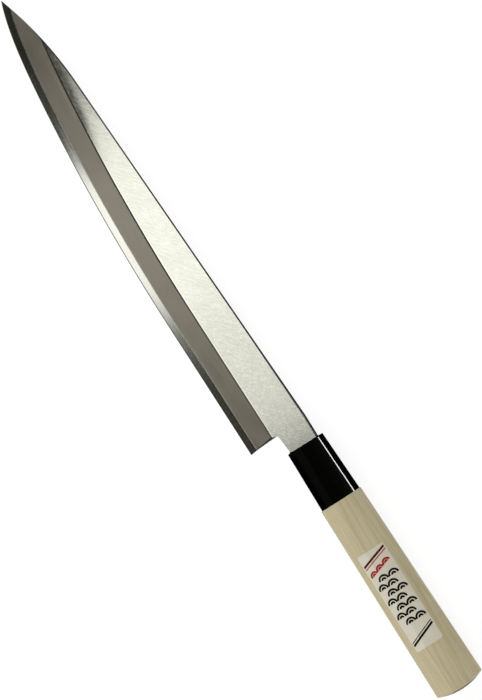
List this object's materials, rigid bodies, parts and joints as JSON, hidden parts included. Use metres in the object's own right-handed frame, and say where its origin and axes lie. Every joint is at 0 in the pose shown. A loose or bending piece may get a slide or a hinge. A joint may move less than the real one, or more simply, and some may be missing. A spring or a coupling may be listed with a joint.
{
  "type": "yanagiba knife",
  "caption": "Long slicing knife with a single-bevel blade of welded steel layers, black ferrule and ridged oval wooden handle.",
  "frame": {"origin": "middle of the knife's outer box, on its underside, where the handle's lowest line touches a table", "axes": "+X from the butt to the tip, +Y from the spine to the cutting edge, +Z from the hollow back to the bevelled face"},
  "size_m": [0.4144, 0.0397, 0.022],
  "materials": {
    "soft_iron": "fine satin scratches on the flat, hazy matt grey on the bevel",
    "hard_steel": "polished, with fine lines along the edge",
    "ferrule_black": "polished gloss",
    "seal_black": "set resin, smooth",
    "pale_wood": "sanded, unvarnished magnolia wood",
    "label_paper": "smooth paper with printed rules and a wave pattern"
  },
  "bodies": {
    "root": {"blade_body": "soft_iron", "cutting_steel": "hard_steel", "ferrule": "ferrule_black", "mouth_seal": "seal_black", "handle": "pale_wood", "label": "label_paper"}
  },
  "joints": []
}
